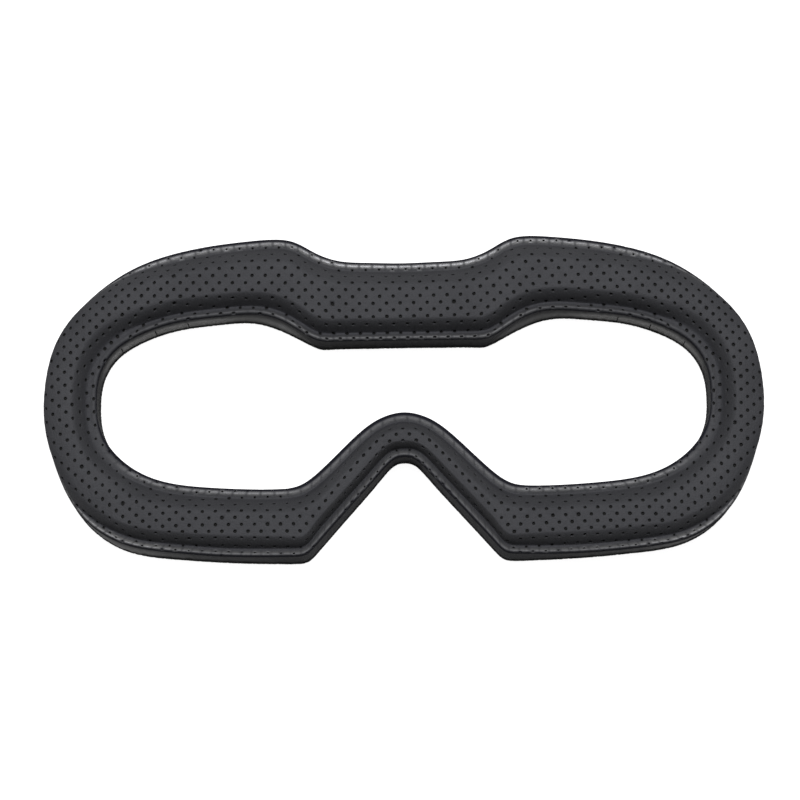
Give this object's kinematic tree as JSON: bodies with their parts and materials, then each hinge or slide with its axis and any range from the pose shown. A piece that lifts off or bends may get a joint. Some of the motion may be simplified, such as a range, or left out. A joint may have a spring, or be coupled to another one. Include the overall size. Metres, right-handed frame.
{
  "type": "goggle face pad",
  "caption": "Soft ring-shaped face pad for video goggles: perforated leather front with a raised crown and rim beads over foam, loop fabric on the flat back.",
  "frame": {"origin": "centre of the pad's outline on its flat back face", "axes": "+Z out of the back face towards the wearer's face, +Y up towards the forehead, X across the face"},
  "size_m": [0.167, 0.076, 0.0125],
  "materials": {
    "perforated_leather": "fine-grained satin polyurethane leather with small staggered perforations",
    "plain_leather": "smooth satin polyurethane leather, unperforated",
    "soft_foam": "open-cell slow-recovery foam, matt",
    "firm_foam": "closed-cell foam, matt",
    "adhesive_film": "black hot-melt adhesive film",
    "loop_fabric": "short brushed loop pile"
  },
  "bodies": {
    "base": {"support_foam": "firm_foam", "foam_bond_film": "adhesive_film", "backing_bond_film": "adhesive_film", "loop_backing": "loop_fabric", "comfort_foam": "soft_foam", "outer_side_wall": "plain_leather", "inner_side_wall": "plain_leather"},
    "face": {"face_cover": "perforated_leather"}
  },
  "joints": [
    {"name": "cushion_press", "type": "slide", "parent": "base", "child": "face", "axis": [0, 0, -1], "range_m": [0, 0.003], "stiffness_N_per_m": 5000, "deforming": ["comfort_foam", "outer_side_wall", "inner_side_wall"]}
  ]
}
